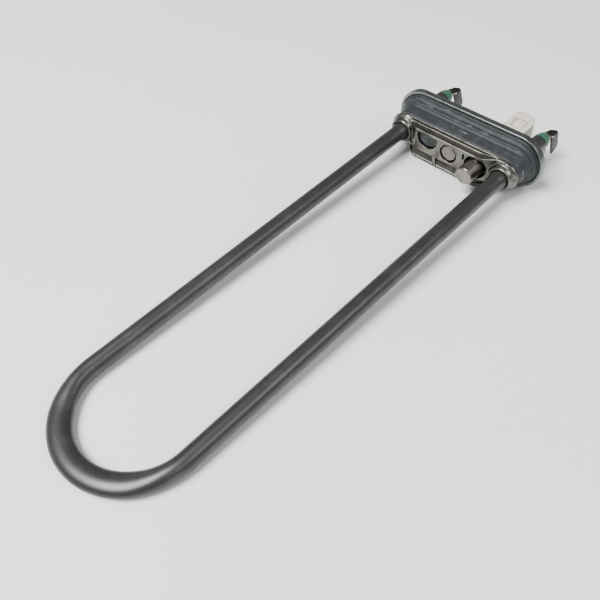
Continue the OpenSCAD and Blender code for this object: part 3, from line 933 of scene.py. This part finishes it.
    def flow(self, spot: Vector) -> Point:
        """Finds a point's place along, through and out from the seal's oval.

        Args:
            spot: A point on the seal.

        Returns:
            Its place, with the length round the oval first.
        """
        x, y, z = spot
        if abs(x) <= self.mid:
            return (x, y, abs(z))
        out = abs(x) - self.mid
        angle = math.atan2(out, abs(z))
        return (math.copysign(self.mid + 0.8 * self.radius * angle, x), y, math.hypot(out, z))

    def mould(self, piece: bpy.types.Object) -> None:
        """Raises the moulded lips of the seal and marks where they are rubbed pale.

        Args:
            piece: The seal.
        """
        bloom = piece.data.attributes.new("bloom", "FLOAT", "POINT")
        for vert, cell in zip(piece.data.vertices, bloom.data):
            x, y, z = vert.co
            out = Vector((math.copysign(max(0.0, abs(x) - self.mid), x), 0.0, z))
            if y < self.seal_nose and math.hypot(x - self.window_at, z) < self.window_radius:
                cell.value = self.window_bloom
            if out.length < 0.45 * self.radius or y < self.seal_nose:
                continue
            lift = sum(height * bump_at(y, centre, width) for centre, width, height in self.lips)
            vert.co = vert.co + out.normalized() * lift * MM
            cell.value = sum(share * bump_at(y, centre, width) for centre, width, share in self.rubbed)

    def build(self) -> None:
        """Builds the flange."""
        piece = recast("rubber_seal", "seal", RUBBER, 0.33, 4)
        self.mould(piece)
        mark_flow(piece, self.flow)
        self.plate()


@dataclass
class Clamp:
    """Die-cast bracket with its bolt, washer, nut and earth tab."""

    shank: float = 3.0 * MM
    head_depth: float = 3.35 * MM
    thread_pitch: float = 1.0 * MM
    thread_depth: float = 0.5 * MM

    def bolt(self) -> None:
        """Builds the bolt with a rounded head and a threaded tail."""
        low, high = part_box("clamp_bolt")
        nut_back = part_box("clamp_nut")[1][1]
        head, front, back = high[0], low[1], high[1]
        profile = [(0.0, front), (head - 2.0 * MM, front + 0.02 * MM), (head - 1.1 * MM, front + 0.12 * MM)]
        for k in range(6):
            a = math.radians(90.0 * k / 5)
            profile.append((head - 0.9 * MM * (1 - math.sin(a)), front + 1.0 * MM - 0.85 * MM * math.cos(a)))
        profile += [(head, front + self.head_depth), (self.shank, front + self.head_depth), (self.shank, nut_back)]
        y = nut_back + 0.1 * MM
        while y + self.thread_pitch < back - 0.6 * MM:
            profile += [(self.shank, y), (self.shank - self.thread_depth, y + 0.5 * self.thread_pitch)]
            y += self.thread_pitch
        profile += [(self.shank, back - 0.6 * MM), (self.shank - 0.6 * MM, back), (0.0, back)]
        piece = place_object("bolt", lathe(profile, (0.0, 0.0, 0.0), 64), BOLT_STEEL, 25.0)
        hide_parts("clamp_bolt")

    def small(self, node: str, name: str, edge: float) -> None:
        """Makes a plated copy of a small CAD node with its edges broken.

        Args:
            node: The CAD node that is copied and replaced.
            name: Name of the new piece.
            edge: Width of the broken edges in metres.
        """
        shape = node_copy(node)
        bmesh.ops.dissolve_limit(shape, angle_limit=math.radians(0.5), verts=shape.verts, edges=shape.edges)
        soften(shape, edge, 2, 40.0)
        piece = place_object(name, shape, ZINC, 30.0)
        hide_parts(node)

    def build(self) -> None:
        """Builds the clamp."""
        piece = recast("clamp_bracket", "bracket", CASTING, 0.32, 4)
        self.bolt()
        self.small("clamp_nut", "nut", 0.12 * MM)
        self.small("clamp_washer", "washer", 0.08 * MM)
        self.small("earth_tab", "tab", 0.1 * MM)


@dataclass
class Sensor:
    """Temperature sensor: sleeve, inner pieces and plug housing."""

    wall: float = 0.5 * MM
    chamfer: float = 0.75 * MM
    window_width: float = 6.5 * MM
    window_length: float = 7.8 * MM
    window_from_end: float = 9.5 * MM
    window_shift: float = 0.3 * MM
    groove_depth: float = 0.5 * MM
    groove_width: float = 0.28 * MM

    def __post_init__(self) -> None:
        """Reads the sleeve's box."""
        low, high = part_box("sensor_sleeve")
        self.x = (low[0] + high[0]) / 2
        self.radius = (high[0] - low[0]) / 2
        self.tip, self.back = low[1], high[1]

    def sleeve(self) -> None:
        """Builds the drawn sleeve with its rounded tip."""
        r, c = self.radius, self.chamfer
        profile = [(0.0, self.tip), (r - c - 0.3 * MM, self.tip)]
        for k in range(9):
            a = math.radians(90.0 * k / 8)
            profile.append((r - c + c * math.sin(a), self.tip + c - c * math.cos(a)))
        profile += [(r, self.back - 0.1 * MM), (r - 0.1 * MM, self.back), (r - self.wall, self.back)]
        profile += [(r - self.wall, self.tip + 1.0 * MM), (0.0, self.tip + 1.0 * MM)]
        piece = place_object("sleeve", lathe(profile, (self.x, 0.0, 0.0), 80), SLEEVE, 40.0)
        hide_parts("sensor_sleeve")

    def score(self, piece: bpy.types.Object) -> None:
        """Presses a fine groove round the window in the housing's top.

        Args:
            piece: The housing.
        """
        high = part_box("sensor_housing")[1]
        middle_x, middle_y = self.x + self.window_shift, high[1] - self.window_from_end
        for vert in piece.data.vertices:
            if vert.co.z < high[2] - 1.0 * MM:
                continue
            over_x = abs(vert.co.x - middle_x) - self.window_width / 2
            over_y = abs(vert.co.y - middle_y) - self.window_length / 2
            away = math.hypot(max(over_x, 0.0), max(over_y, 0.0)) + min(max(over_x, over_y), 0.0)
            vert.co.z -= self.groove_depth * math.exp(-((away / self.groove_width) ** 2))

    def build(self) -> None:
        """Builds the sensor."""
        self.sleeve()
        piece = recast("sensor_housing", "plug_housing", IVORY, 0.2, 3)
        self.score(piece)
        dress(["sensor_filling"], COMPOUND)
        dress(["thermistor_bead"], GLAZE)
        dress(["sensor_leads"], WIRE)
        dress(["sensor_contacts"], BRASS)


@dataclass
class Studio:
    """Plain pale floor, soft lights and the camera at the photo's angle."""

    lens_mm: float = 39.15
    sensor_mm: float = 36.0
    camera_at: Point = (0.1441, -0.2566, 0.2232)
    right: Point = (0.717, 0.694, -0.064)
    up: Point = (-0.514, 0.590, 0.623)
    back: Point = (0.470, -0.414, 0.780)
    rest_at_plate: Point = (0.0, 0.0031, -0.0150)
    rest_at_loop: Point = (0.0, -0.2520, -0.0033)
    floor_size: float = 4.0
    middle: Point = (0.0, -0.11, 0.0)

    def floor(self) -> None:
        """Lays a floor under the plate's lower edge and the end of the loop."""
        near, far = Vector(self.rest_at_plate), Vector(self.rest_at_loop)
        tilt = math.atan2(near.z - far.z, near.y - far.y)
        mesh = bpy.data.meshes.new("floor")
        shape = bmesh.new()
        bmesh.ops.create_grid(shape, x_segments=1, y_segments=1, size=self.floor_size / 2)
        bmesh.ops.rotate(shape, verts=shape.verts, matrix=Matrix.Rotation(tilt, 3, "X"))
        bmesh.ops.translate(shape, verts=shape.verts, vec=near)
        shape.to_mesh(mesh)
        shape.free()
        floor = bpy.data.objects.new("floor", mesh)
        mesh.materials.append(FLOOR.material())
        bpy.context.scene.collection.objects.link(floor)

    def light(self, name: str, towards: Point, distance: float, size: tuple[float, float], power: float) -> None:
        """Hangs a soft rectangular light that looks at the object.

        Args:
            name: Name of the light.
            towards: Direction from the object to the light.
            distance: How far away the light hangs.
            size: Width and height of the light.
            power: Power in watts.
        """
        data = bpy.data.lights.new(name, "AREA")
        data.shape = "RECTANGLE"
        data.size, data.size_y = size
        data.energy = power
        lamp = bpy.data.objects.new(name, data)
        way = Vector(towards).normalized()
        lamp.location = Vector(self.middle) + way * distance
        lamp.rotation_mode = "QUATERNION"
        lamp.rotation_quaternion = (-way).to_track_quat("-Z", "Y")
        bpy.context.scene.collection.objects.link(lamp)

    def world(self, level: float) -> None:
        """Sets an even grey world.

        Args:
            level: Strength of the world's light.
        """
        world = bpy.data.worlds.new("studio")
        world.use_nodes = True
        world.node_tree.nodes["Background"].inputs["Color"].default_value = (1, 1, 1, 1)
        world.node_tree.nodes["Background"].inputs["Strength"].default_value = level
        bpy.context.scene.world = world

    def camera(self) -> None:
        """Places the camera that was solved from the photo's outlines."""
        data = bpy.data.cameras.new("camera")
        data.lens = self.lens_mm
        data.sensor_width = self.sensor_mm
        data.clip_start = 0.01
        data.clip_end = 20.0
        camera = bpy.data.objects.new("camera", data)
        turn = Matrix((self.right, self.up, self.back)).transposed().to_4x4()
        camera.matrix_world = Matrix.Translation(self.camera_at) @ turn
        bpy.context.scene.collection.objects.link(camera)
        bpy.context.scene.camera = camera

    def build(self) -> None:
        """Builds the whole studio."""
        self.floor()
        self.world(0.32)
        self.light("key", (-0.17, -0.43, 0.89), 1.2, (0.62, 0.62), 31.0)
        self.light("side", (0.65, 0.25, 0.7), 1.2, (0.6, 0.5), 5.0)
        self.camera()
        LOG.info("studio: floor, lights and camera")


def main() -> None:
    """Builds the studio and every sub-assembly in order."""
    Studio().build()
    HeatingTube().build()
    for side in Side:
        Terminal(side).build()
    Flange().build()
    Clamp().build()
    Sensor().build()


if __name__ == "__main__":
    main()
